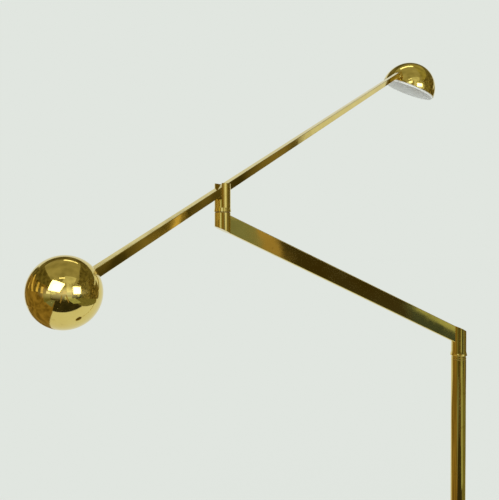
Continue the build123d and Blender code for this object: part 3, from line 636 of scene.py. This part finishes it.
ball = bmesh.new()
bmesh.ops.create_uvsphere(ball, u_segments=ballSteps, v_segments=ballSteps // 2, radius=ballRadius)
moved(ball, ballPlace)
counterweight = objectFrom("counterweightBall", ball)
socketSize = rodSizes["size"] + 2 * closeFit
socketMiddle = socketMouth - rodSizes["socket"] / 2
screwPlace = placed(pivot + rodAxis * socketMiddle, -tiltAxis, rodAxis)
drilled(counterweight, block(socketSize, socketSize, rodSizes["socket"] + cutPast,
                             rodPlace @ shifted(0, 0, socketMiddle + cutPast / 2)),
        drum(screwSizes["radius"] + closeFit, screwSizes["holeFrom"], screwSizes["holeTo"], screwPlace))
dressed(counterweight, "rod", "polished_brass", ballBrass, "counterweight_ball")

screwLow = rodSizes["size"] / 2 + closeFit
screwHigh = screwLow + screwSizes["length"]
screw = turned(solidOutline(screwSizes["radius"], screwLow, screwHigh), screwSizes["steps"])
soften(screw, screwSizes["edge"])
moved(screw, screwPlace)
setScrew = objectFrom("ballSetScrew", screw)
drilled(setScrew, drum(screwSizes["key"], screwHigh - screwSizes["keyDepth"], screwHigh + cutPast,
                       screwPlace, screwSizes["keySides"]))
dressed(setScrew, "rod", "steel", steelFinish, "ball_set_screw")
print("rod and ball dressed")

# knuckle between rod and shade

eyeSizes = {"plug": 0.018, "thickness": 0.004, "height": 0.0079, "radius": 0.005, "hole": 0.00203,
            "slotGap": 0.00015}
clevisSizes = {"radius": 0.0065, "width": 0.012, "slotDepth": 0.0053, "back": 0.0016, "edge": 0.0003,
               "pinHole": 0.00205, "neckRadius": 0.005, "neckEdge": 0.0002, "stemRadius": 0.004,
               "stemBore": 0.002, "pinRadius": 0.002, "headRadius": 0.0034, "headHeight": 0.0012,
               "pinSteps": 64, "washer": 0.001, "washerRadius": 0.007, "steps": 72}
eyePlace = placed(knuckle, tiltAxis, rodAxis)
clevisPlace = placed(knuckle, tiltAxis, stubAxis)


def roundEnded(radius, reach, halfHeight, thickness):  # plate: round about the origin, square at x = reach
    bm = bmesh.new()
    bmesh.ops.create_circle(bm, cap_ends=True, segments=clevisSizes["steps"], radius=radius)
    half = [vert for vert in bm.verts if vert.co.x / reach > samePlace]
    bmesh.ops.delete(bm, geom=half, context="VERTS")
    ends = [vert for vert in bm.verts if len(vert.link_edges) == 1]
    ends.sort(key=lambda vert: vert.co.y)
    corners = [bm.verts.new((reach, side * halfHeight, 0)) for side in (-1, 1)]
    for end, corner in zip(ends, corners):
        bm.edges.new((end, corner))
    bm.edges.new(corners)
    bmesh.ops.contextual_create(bm, geom=bm.edges[:])
    raised(bm, bm.faces[:], thickness)
    moved(bm, shifted(0, 0, -thickness / 2))
    turnOut(bm)
    return bm


tongue = roundEnded(eyeSizes["radius"], -rodSizes["endSetback"] - sunkIn, eyeSizes["height"] / 2,
                    eyeSizes["thickness"])
moved(tongue, eyePlace)
rodEye = objectFrom("rodEye", tongue)
plugSize = rodSizes["size"] - 2 * rodSizes["wall"] - 2 * closeFit
combined(rodEye, block(plugSize, plugSize, eyeSizes["plug"],
                       rodPlace @ shifted(0, 0, rodEnd - eyeSizes["plug"] / 2)), "UNION")
drilled(rodEye, drill(eyeSizes["hole"], eyePlace))
dressed(rodEye, "rod", "polished_brass", headBrass, "rod_eye")

clevisReach = clevisSizes["slotDepth"] + clevisSizes["back"]
cheeks = roundEnded(clevisSizes["radius"], clevisReach, clevisSizes["radius"], clevisSizes["width"])
soften(cheeks, clevisSizes["edge"])
moved(cheeks, clevisPlace)
clevis = objectFrom("headClevis", cheeks)
neckEnd = domeSizes["stubLength"] - clevisSizes["washer"]
stemEnd = reachOf("head_clevis", knuckle, stubAxis)[1]
neck = turned([(0, clevisReach - sunkIn), (clevisSizes["neckRadius"], clevisReach - sunkIn),
               (clevisSizes["neckRadius"], neckEnd), (clevisSizes["stemRadius"], neckEnd),
               (clevisSizes["stemRadius"], stemEnd), (0, stemEnd)], clevisSizes["steps"])
soften(neck, clevisSizes["neckEdge"])
moved(neck, stubPlace)
combined(clevis, neck, "UNION")
drilled(clevis, block(2 * clevisSizes["radius"], 4 * clevisSizes["radius"],
                      eyeSizes["thickness"] + 2 * eyeSizes["slotGap"],
                      clevisPlace @ shifted(clevisSizes["slotDepth"] - clevisSizes["radius"], 0, 0)),
        drill(clevisSizes["pinHole"], clevisPlace),
        drum(clevisSizes["stemBore"], clevisSizes["slotDepth"] - sunkIn, stemEnd + cutPast, stubPlace))
dressed(clevis, "knuckle", "polished_brass", headBrass, "head_clevis")

halfWidth = clevisSizes["width"] / 2
headTop = halfWidth + clevisSizes["headHeight"]
headPin = turned([(0, -halfWidth), (clevisSizes["pinRadius"], -halfWidth),
                  (clevisSizes["pinRadius"], halfWidth), (clevisSizes["headRadius"], halfWidth),
                  (clevisSizes["headRadius"], headTop), (0, headTop)], clevisSizes["pinSteps"])
soften(headPin, clevisSizes["edge"])
moved(headPin, clevisPlace)
dressed(objectFrom("knucklePin", headPin), "knuckle", "polished_brass", headBrass, "knuckle_pin")

shadeWasher = turned(ringOutline(clevisSizes["washerRadius"], clevisSizes["stemRadius"] + closeFit, neckEnd,
                                 domeSizes["stubLength"]), clevisSizes["steps"])
soften(shadeWasher, clevisSizes["edge"])
moved(shadeWasher, stubPlace)
dressed(objectFrom("shadeWasher", shadeWasher), "knuckle", "polished_brass", headBrass, "shade_washer")
print("knuckle dressed")

# dome shade and white reflector


def halfShell(name, radius, wall, lip, rim):
    bm = bmesh.new()
    bmesh.ops.create_uvsphere(bm, u_segments=domeSizes["steps"], v_segments=domeSizes["steps"] // 2,
                              radius=radius)
    bmesh.ops.bisect_plane(bm, geom=everything(bm), dist=mergeDistance, plane_co=(0, 0, domeSizes["cut"]),
                           plane_no=(0, 0, 1), clear_inner=True)
    if lip:
        mouth = [edge for edge in bm.edges if edge.is_boundary]
        made = bmesh.ops.extrude_edge_only(bm, edges=mouth)["geom"]
        bmesh.ops.translate(bm, vec=(0, 0, -lip), verts=onlyKind(made, BMVert))
    turnOut(bm)
    bmesh.ops.solidify(bm, geom=bm.faces[:], thickness=wall)
    lowest = min(vert.co.z for vert in bm.verts)
    rounded(bm, [edge for edge in bm.edges if all(vert.co.z < lowest + samePlace for vert in edge.verts)
                 and edge.calc_face_angle(0) > radians(sharpEdge)], rim, segments=4)
    moved(bm, domePlace)
    shell = objectFrom(name, bm)
    drilled(shell, drum(domeSizes["holeRadius"], domeSizes["holeFrom"], domeSizes["holeTo"], stemPlace))
    return shell


dome = halfShell("domeShade", domeSizes["radius"], domeSizes["wall"], 0, domeSizes["rim"])
dressed(dome, "shade", "polished_brass", domeBrass, "dome_shade")
reflectorSizes = {"gap": 0.0003, "wall": 0.001, "lip": 0.004, "rim": 0.00035}
reflectorRadius = domeSizes["radius"] - domeSizes["wall"] - reflectorSizes["gap"]
reflector = halfShell("whiteReflector", reflectorRadius, reflectorSizes["wall"], reflectorSizes["lip"],
                      reflectorSizes["rim"])
dressed(reflector, "shade", "white_enamel", enamelFinish, "reflector")
print("shade dressed")

# lamp holder and bulb under the dome

holderSizes = {"groove": 0.0006, "grooves": 5, "groovePitch": 0.0028, "grooveStart": 0.003, "bore": 0.0073,
               "boreDepth": 0.022, "screwHole": 0.00205, "edge": 0.0002, "steps": 72}
glassSizes = {"neckRadius": 0.0066, "neckLength": 0.008, "round": 0.0012, "sharper": 20, "arcSteps": 16,
              "steps": 72}
holderLow, holderHigh = reachOf("lamp_holder", domeCentre, domeInward)
lampLow, lampHigh = reachOf("lamp_holder", domeCentre, domeAxis)
lampRadius = (lampHigh - lampLow) / 2
lampLine = placed(domeCentre + domeAxis * (lampLow + lampRadius), domeInward, domeAxis)
holderSide = [(lampRadius, holderLow)]
for index in reversed(range(holderSizes["grooves"])):
    middle = holderHigh - holderSizes["grooveStart"] - index * holderSizes["groovePitch"]
    holderSide += [(lampRadius, middle - holderSizes["groove"]),
                   (lampRadius - holderSizes["groove"], middle),
                   (lampRadius, middle + holderSizes["groove"])]
boreEnd = holderHigh - holderSizes["boreDepth"]
holderBody = turned([(holderSizes["screwHole"], holderLow), *holderSide, (lampRadius, holderHigh),
                     (holderSizes["bore"], holderHigh), (holderSizes["bore"], boreEnd),
                     (holderSizes["screwHole"], boreEnd)], holderSizes["steps"])
soften(holderBody, holderSizes["edge"], segments=2)
moved(holderBody, lampLine)
dressed(objectFrom("lampHolder", holderBody), "shade", "black_plastic", blackFinish, "lamp_holder",
        smoothUnder=60)

glassLow, glassHigh = reachOf("bulb_glass", domeCentre, domeInward)
crownLow, crownHigh = reachOf("bulb_glass", domeCentre, domeAxis)
glassRadius = (crownHigh - crownLow) / 2
turnStart = glassHigh - glassRadius
arcAngles = [step * pi / 2 / glassSizes["arcSteps"] for step in range(glassSizes["arcSteps"])]
tipArc = [(glassRadius * cos(angle), turnStart + glassRadius * sin(angle)) for angle in arcAngles]
glass = turned([(0, glassLow), (glassSizes["neckRadius"], glassLow),
                (glassRadius, glassLow + glassSizes["neckLength"]), *tipArc, (0, glassHigh)],
               glassSizes["steps"])
soften(glass, glassSizes["round"], segments=4, sharper=glassSizes["sharper"])
moved(glass, lampLine)
dressed(objectFrom("bulbGlass", glass), "shade", "bulb_glass", opalFinish, "bulb_glass", smoothUnder=60)
print("lamp dressed")

# nodes that stay as they are and only get their finish

keptFinishes = {"steel": steelFinish, "cast_iron": ironFinish, "black_plastic": blackFinish,
                "lead_rubber": sheathFinish, "polished_brass": turnedBrass}
slotOf = {part["node"]: part["material_slot"] for part in frame["record"]["subparts"]}
for name, node in frame["nodes"].items():
    if not node.hide_render:
        node.data.materials.clear()
        node.data.materials.append(keptFinishes[slotOf[name]])
        print("kept", name)

# stage: pale floor, soft light and what the metal mirrors

stageSizes = {"floor": 60.0, "paper": (0.808, 0.849, 0.800), "paperRoughness": 0.9, "fill": 0.62,
              "sunStrength": 1.3, "sunAngle": radians(50), "sunAim": Vector((0.45, 0.75, -1.0)).normalized()}
floorLevel = stageSizes["fill"] - stageSizes["sunStrength"] * stageSizes["sunAim"].z / pi
backdrop = [floorLevel * part for part in stageSizes["paper"]]

floor = bmesh.new()
bmesh.ops.create_grid(floor, x_segments=1, y_segments=1, size=stageSizes["floor"] / 2)
floorPiece = objectFrom("paperFloor", floor)
floorMaterial, _, floorShader = startMaterial("palePaper")
floorShader.inputs["Base Color"].default_value = (*stageSizes["paper"], 1.0)
floorShader.inputs["Roughness"].default_value = stageSizes["paperRoughness"]
floorShader.inputs["Specular IOR Level"].default_value = 0.0
floorPiece.data.materials.append(floorMaterial)


def larger(tree, first, second):
    node = tree.nodes.new("ShaderNodeMath")
    node.operation = "MAXIMUM"
    tree.links.new(first, node.inputs[0])
    tree.links.new(second, node.inputs[1])
    return node.outputs[0]


world = bpy.data.worlds.new("paleStudio")
scene.world = world
world.use_nodes = True
tree = world.node_tree
tree.nodes.clear()
path = tree.nodes.new("ShaderNodeLightPath").outputs
seen = added(tree, "ShaderNodeBackground", Color=(*backdrop, 1.0), Strength=1.0)
light = added(tree, "ShaderNodeBackground", Color=(1.0, 1.0, 1.0, 1.0), Strength=stageSizes["fill"])
choose = tree.nodes.new("ShaderNodeMixShader")
tree.links.new(larger(tree, larger(tree, path["Is Camera Ray"], path["Is Glossy Ray"]),
                      path["Is Transmission Ray"]), choose.inputs[0])
tree.links.new(light.outputs[0], choose.inputs[1])
tree.links.new(seen.outputs[0], choose.inputs[2])
tree.links.new(choose.outputs[0], tree.nodes.new("ShaderNodeOutputWorld").inputs["Surface"])

sun = bpy.data.lights.new("softKey", "SUN")
sun.energy = stageSizes["sunStrength"]
sun.angle = stageSizes["sunAngle"]
sunLamp = bpy.data.objects.new("softKey", sun)
sunLamp.rotation_mode = "QUATERNION"
sunLamp.rotation_quaternion = stageSizes["sunAim"].to_track_quat("-Z", "Y")
sunLamp.visible_glossy = False
scene.collection.objects.link(sunLamp)

# cards round the set that only polished metal mirrors

cardTones = {  # two colours each, which a soft noise mixes
    "pitch": ((0.028, 0.026, 0.013), (0.050, 0.043, 0.021)),
    "dark": ((0.048, 0.036, 0.010), (0.054, 0.047, 0.026)),
    "slate": ((0.058, 0.075, 0.065), (0.072, 0.092, 0.080)),
    "shade": ((0.050, 0.043, 0.017), (0.095, 0.082, 0.034)),
    "umber": ((0.050, 0.040, 0.011), (0.230, 0.180, 0.060)),
    "moss": ((0.085, 0.072, 0.022), (0.190, 0.165, 0.062)),
    "brown": ((0.150, 0.098, 0.020), (0.330, 0.225, 0.065)),
    "tan": ((0.360, 0.265, 0.105), (0.450, 0.330, 0.140)),
    "olive": ((0.150, 0.150, 0.055), (0.220, 0.210, 0.085)),
    "sage": ((0.190, 0.215, 0.145), (0.235, 0.265, 0.180)),
    "thicket": ((0.060, 0.055, 0.020), (0.320, 0.280, 0.120)),
    "straw": ((0.280, 0.265, 0.145), (0.410, 0.390, 0.240)),
    "green": ((0.340, 0.380, 0.210), (0.440, 0.480, 0.280)),
    "pale": ((0.520, 0.530, 0.380), (0.720, 0.720, 0.550)),
    "amber": ((0.560, 0.410, 0.130), (0.880, 0.680, 0.270)),
    "daylight": ((0.700, 0.760, 0.800), (0.900, 0.950, 0.980)),
    "strip": ((1.80, 1.80, 1.50), (2.00, 2.00, 1.70)),
    "key": ((4.20, 4.30, 4.60), (4.50, 4.60, 4.90)),
    "haze": ((0.62, 0.68, 0.80), (0.74, 0.80, 0.92)),
}
patchLook = {"noise": (2.0, 0.5), "range": (0.35, 0.65)}  # detail and roughness
hazeSizes = {"centre": (-0.2, -3.2, 1.3), "reach": (5.0, 3.2, 1.15)}  # fades from the centre to its reach


def rect(left, low, right, high):
    return [(left, low), (right, low), (right, high), (left, high)]


cards = {  # axis across the card, its place on that axis, corners on the other two, tone, patches per metre
    "frontUpper": ("y", -3.34, rect(-4.5, 1.1, 4.5, 3.2), "straw", 1.1),
    "frontLower": ("y", -3.33, rect(-4.5, 0.0, 4.5, 1.1), "shade", 1.5),
    "frontBetween": ("y", -3.32, rect(-0.05, 1.4, 0.9, 3.2), "pale", 1.6),
    "frontSage": ("y", -3.31, rect(-0.05, 0.9, 0.65, 1.4), "sage", 1.6),
    "frontGreenLow": ("y", -3.31, rect(-0.35, 0.2, 0.95, 0.7), "green", 2.2),
    "frontBrown": ("y", -3.31, rect(-1.85, 1.1, -0.05, 1.6), "brown", 2.0),
    "frontGreen": ("y", -3.31, rect(-2.95, 1.2, -1.85, 1.6), "green", 2.0),
    "frontLight": ("y", -3.30, rect(-2.6, 1.85, -0.9, 3.1), "daylight", 1.6),
    "frontBright": ("y", -3.30, rect(0.95, 1.1, 2.2, 2.4), "daylight", 2.0),
    "frontBrightFar": ("y", -3.30, rect(2.2, 1.1, 3.5, 2.4), "pale", 2.0),
    "frontTan": ("y", -3.29, rect(0.65, 0.85, 0.82, 1.5), "tan", 2.0),
    "frontDark": ("y", -3.29, [(0.82, 0.45), (1.9, 0.45), (1.9, 1.1), (1.3, 1.15), (0.82, 1.5)],
                  "dark", 2.0),
    "frontRight": ("y", -3.30, rect(1.9, 0.15, 4.5, 1.1), "slate", 1.4),
    "frontGleam": ("y", -3.29, [(1.95, 0.66), (2.5, 0.34), (2.9, 0.62), (2.3, 0.97)], "green", 2.0),
    "footRight": ("y", -3.30, rect(0.3, 0.0, 1.7, 0.3), "green", 2.0),
    "barLeft": ("y", -2.40, [(-0.8, 1.0), (-0.68, 1.0), (-0.85, 0.05), (-0.97, 0.05)], "tan", 2.0),
    "barRight": ("y", -2.40, [(-0.32, 1.0), (-0.2, 1.0), (0.12, 0.05), (0.0, 0.05)], "tan", 2.0),
    "floorDark": ("z", 0.005, [(-1.25, -0.92), (0.9, -0.92), (0.9, -3.3), (-1.95, -3.3)], "pitch", 1.5),
    "floorPale": ("z", 0.006, [(0.5, -1.9), (1.4, -1.5), (1.9, -3.3), (0.3, -3.3)], "green", 2.0),
    "floorFront": ("z", 0.004, [(-3.0, -0.75), (-1.2, -0.75), (-1.95, -3.3), (-3.0, -3.3)], "brown", 1.5),
    "floorSage": ("z", 0.0045, [(-3.0, -1.9), (-1.5, -1.35), (-1.95, -3.3), (-3.0, -3.3)], "sage", 2.0),
    "floorLeft": ("z", 0.004, [(-1.2, -0.75), (-1.0, 1.0), (-0.9, 3.2), (-3.0, 3.2), (-3.0, -0.75)],
                  "brown", 1.5),
    "floorRight": ("z", 0.004, [(0.85, -0.95), (0.85, -3.3), (3.6, -3.3), (3.6, 1.6), (2.2, 1.2)],
                   "olive", 2.6),
    "leftLower": ("x", -2.98, rect(-3.3, 0.0, 4.1, 2.3), "brown", 1.8),
    "leftUpper": ("x", -2.98, rect(-3.3, 2.3, 4.1, 3.2), "moss", 1.3),
    "leftOlive": ("x", -2.97, rect(-3.3, 0.0, -1.6, 1.2), "olive", 1.5),
    "leftDarkNear": ("x", -2.96, rect(-1.1, 1.25, -0.65, 2.3), "umber", 2.4),
    "leftDarkFar": ("x", -2.96, rect(-0.3, 1.25, 0.1, 2.4), "umber", 2.4),
    "leftLight": ("x", -2.94, rect(-3.2, 1.2, -2.2, 1.6), "daylight", 2.0),
    "leftSlant": ("x", -2.95, [(1.1, 2.6), (1.45, 2.6), (0.45, 1.25), (0.1, 1.25)], "amber", 2.4),
    "leftNear": ("x", -2.95, rect(-1.5, 1.2, -1.1, 1.95), "amber", 2.4),
    "leftMiddle": ("x", -2.95, rect(-0.65, 1.3, -0.3, 2.2), "amber", 2.4),
    "leftFar": ("x", -2.95, rect(1.45, 1.3, 1.7, 1.75), "amber", 2.4),
    "rightNear": ("x", 3.60, rect(-3.3, 0.0, -0.7, 3.2), "thicket", 2.2),
    "rightMiddle": ("x", 3.60, rect(-0.7, 0.0, 1.01, 3.2), "umber", 3.0),
    "rightBack": ("x", 3.60, [(1.01, 0.0), (2.4, 0.0), (2.4, 2.7), (1.01, 1.91)], "umber", 3.0),
    "rightHigh": ("x", 3.60, [(1.01, 2.22), (2.4, 3.1), (2.4, 3.2), (1.01, 3.2)], "umber", 3.0),
    "rightSpot": ("x", 3.57, rect(-0.07, 1.15, 0.0, 1.55), "amber", 2.0),
    "topDark": ("z", 3.21, [(-3.0, -3.3), (3.6, -3.3), (3.6, 2.4), (1.5, 2.45), (-0.5, 2.95), (-3.0, 2.95)],
                "moss", 1.8),
    "topLit": ("z", 3.20, [(-2.15, 1.3), (0.55, 1.3), (0.85, -0.2), (1.2, -0.9), (1.65, -1.55), (2.2, -3.3),
                           (-2.4, -3.3)], "straw", 0.9),
    "topNear": ("z", 3.19, [(-0.9, -3.3), (1.6, -3.3), (1.1, -1.6), (-0.4, -1.6)], "pale", 0.9),
    "stripFront": ("z", 3.10, rect(-1.1, -2.0, -0.4, -1.8), "strip", 1.0),
    "stripBall": ("z", 3.17, [(-0.65, 1.15), (0.35, 1.03), (0.33, 0.8), (-0.63, 0.93)], "strip", 1.0),
    "keyLeft": ("y", -1.70, [(-1.8, 2.8), (-0.42, 2.0), (-0.85, 1.28), (-2.12, 1.55)], "key", 1.0),
    "keyRight": ("y", -1.70, [(0.3, 1.77), (1.38, 1.88), (1.25, 1.05), (0.28, 1.11)], "key", 1.0),
    "stripDome": ("z", 3.17, [(-0.15, 1.03), (0.7, 0.75), (0.65, 0.53), (-0.18, 0.81)], "strip", 1.0),
    "keyDome": ("y", -3.20, rect(0.7, 1.6, 2.4, 2.45), "key", 1.0),
    "keyDomeLeft": ("y", -3.20, rect(-1.5, 2.6, -0.55, 3.15), "strip", 1.0),
    "topDome": ("z", 3.18, [(0.55, 1.3), (1.5, 1.3), (2.2, -0.2), (2.6, -1.6), (2.6, -3.3), (2.2, -3.3),
                            (1.65, -1.55), (1.2, -0.9), (0.85, -0.2)], "olive", 1.2),
    "hazeFront": ("y", -3.25, rect(-2.9, 0.1, 3.5, 2.5), "haze", 1.0),
    "hazeLeft": ("x", -2.92, rect(-3.24, 0.1, -0.3, 2.5), "haze", 1.0),
    "hazeRight": ("x", 3.55, rect(-3.24, 0.1, -0.3, 2.5), "haze", 1.0),
}
mirrorOnly = {}  # these cards shine on one piece and let everything else see past them
for piece, names in (
        (counterweight, ("stripBall", "keyLeft", "keyRight", "hazeFront", "hazeLeft", "hazeRight")),
        (dome, ("stripDome", "keyDome", "keyDomeLeft", "topDome"))):
    group = bpy.data.collections.new(piece.name + "Only")
    group.objects.link(piece)
    mirrorOnly.update(dict.fromkeys(names, group))


def hazeStrength(tree, own):
    reach = hazeSizes["reach"]
    shift = [-centre / size for centre, size in zip(hazeSizes["centre"], reach)]
    falloff = tree.nodes.new("ShaderNodeTexGradient")
    falloff.gradient_type = "SPHERICAL"
    tree.links.new(mapped(tree, own, Location=shift, Scale=[1 / size for size in reach]),
                   falloff.inputs["Vector"])
    return falloff.outputs["Fac"]


def cardFinish(name, tone, patch, seeThrough):
    material = bpy.data.materials.new(name)
    material.use_nodes = True
    material.cycles.emission_sampling = "NONE"
    tree = material.node_tree
    tree.nodes.clear()
    glow = tree.nodes.new("ShaderNodeEmission")
    own = objectCoordinates(tree)
    patches = ramp(tree, noise(tree, own, patch, *patchLook["noise"]), patchLook["range"])
    if tone == "haze":
        tree.links.new(hazeStrength(tree, own), glow.inputs["Strength"])
    low, high = [(*colour, 1.0) for colour in cardTones[tone]]
    tree.links.new(mixed(tree, patches, low, high), glow.inputs["Color"])
    surface = glow.outputs[0]
    if seeThrough:
        through = tree.nodes.new("ShaderNodeBsdfTransparent")
        both = tree.nodes.new("ShaderNodeAddShader")
        tree.links.new(through.outputs[0], both.inputs[0])
        tree.links.new(surface, both.inputs[1])
        surface = both.outputs[0]
    tree.links.new(surface, tree.nodes.new("ShaderNodeOutputMaterial").inputs["Surface"])
    return material


for name, (axis, place, corners, tone, patch) in cards.items():
    at = "xyz".index(axis)
    sheet = bmesh.new()
    sheet.faces.new([sheet.verts.new((*corner[:at], place, *corner[at:])) for corner in corners])
    card = objectFrom(name, sheet)
    card.data.materials.append(cardFinish(name, tone, patch, name in mirrorOnly))
    if name in mirrorOnly:
        card.light_linking.receiver_collection = mirrorOnly[name]
    card.visible_camera = card.visible_diffuse = card.visible_transmission = card.visible_shadow = False
print("stage set")

# camera at the photograph's viewing angle

cameraSizes = {"place": (-0.51344, -0.71338, 1.16577), "yaw": radians(15.262), "pitch": radians(-0.799),
               "focalPixels": 561.54, "imageHeight": 500, "sensor": 36.0, "nearest": 0.01, "farthest": 200.0}
camera = bpy.data.cameras.new("camera")
camera.sensor_width = cameraSizes["sensor"]
camera.lens = cameraSizes["focalPixels"] / cameraSizes["imageHeight"] * cameraSizes["sensor"]
camera.clip_start, camera.clip_end = cameraSizes["nearest"], cameraSizes["farthest"]
cameraPiece = bpy.data.objects.new("camera", camera)
flatPart = cos(cameraSizes["pitch"])
ahead = Vector((sin(cameraSizes["yaw"]) * flatPart, cos(cameraSizes["yaw"]) * flatPart,
                sin(cameraSizes["pitch"])))
cameraPiece.location = cameraSizes["place"]
cameraPiece.rotation_mode = "QUATERNION"
cameraPiece.rotation_quaternion = ahead.to_track_quat("-Z", "Y")
scene.collection.objects.link(cameraPiece)
scene.camera = cameraPiece
scene.view_settings.view_transform = "Standard"
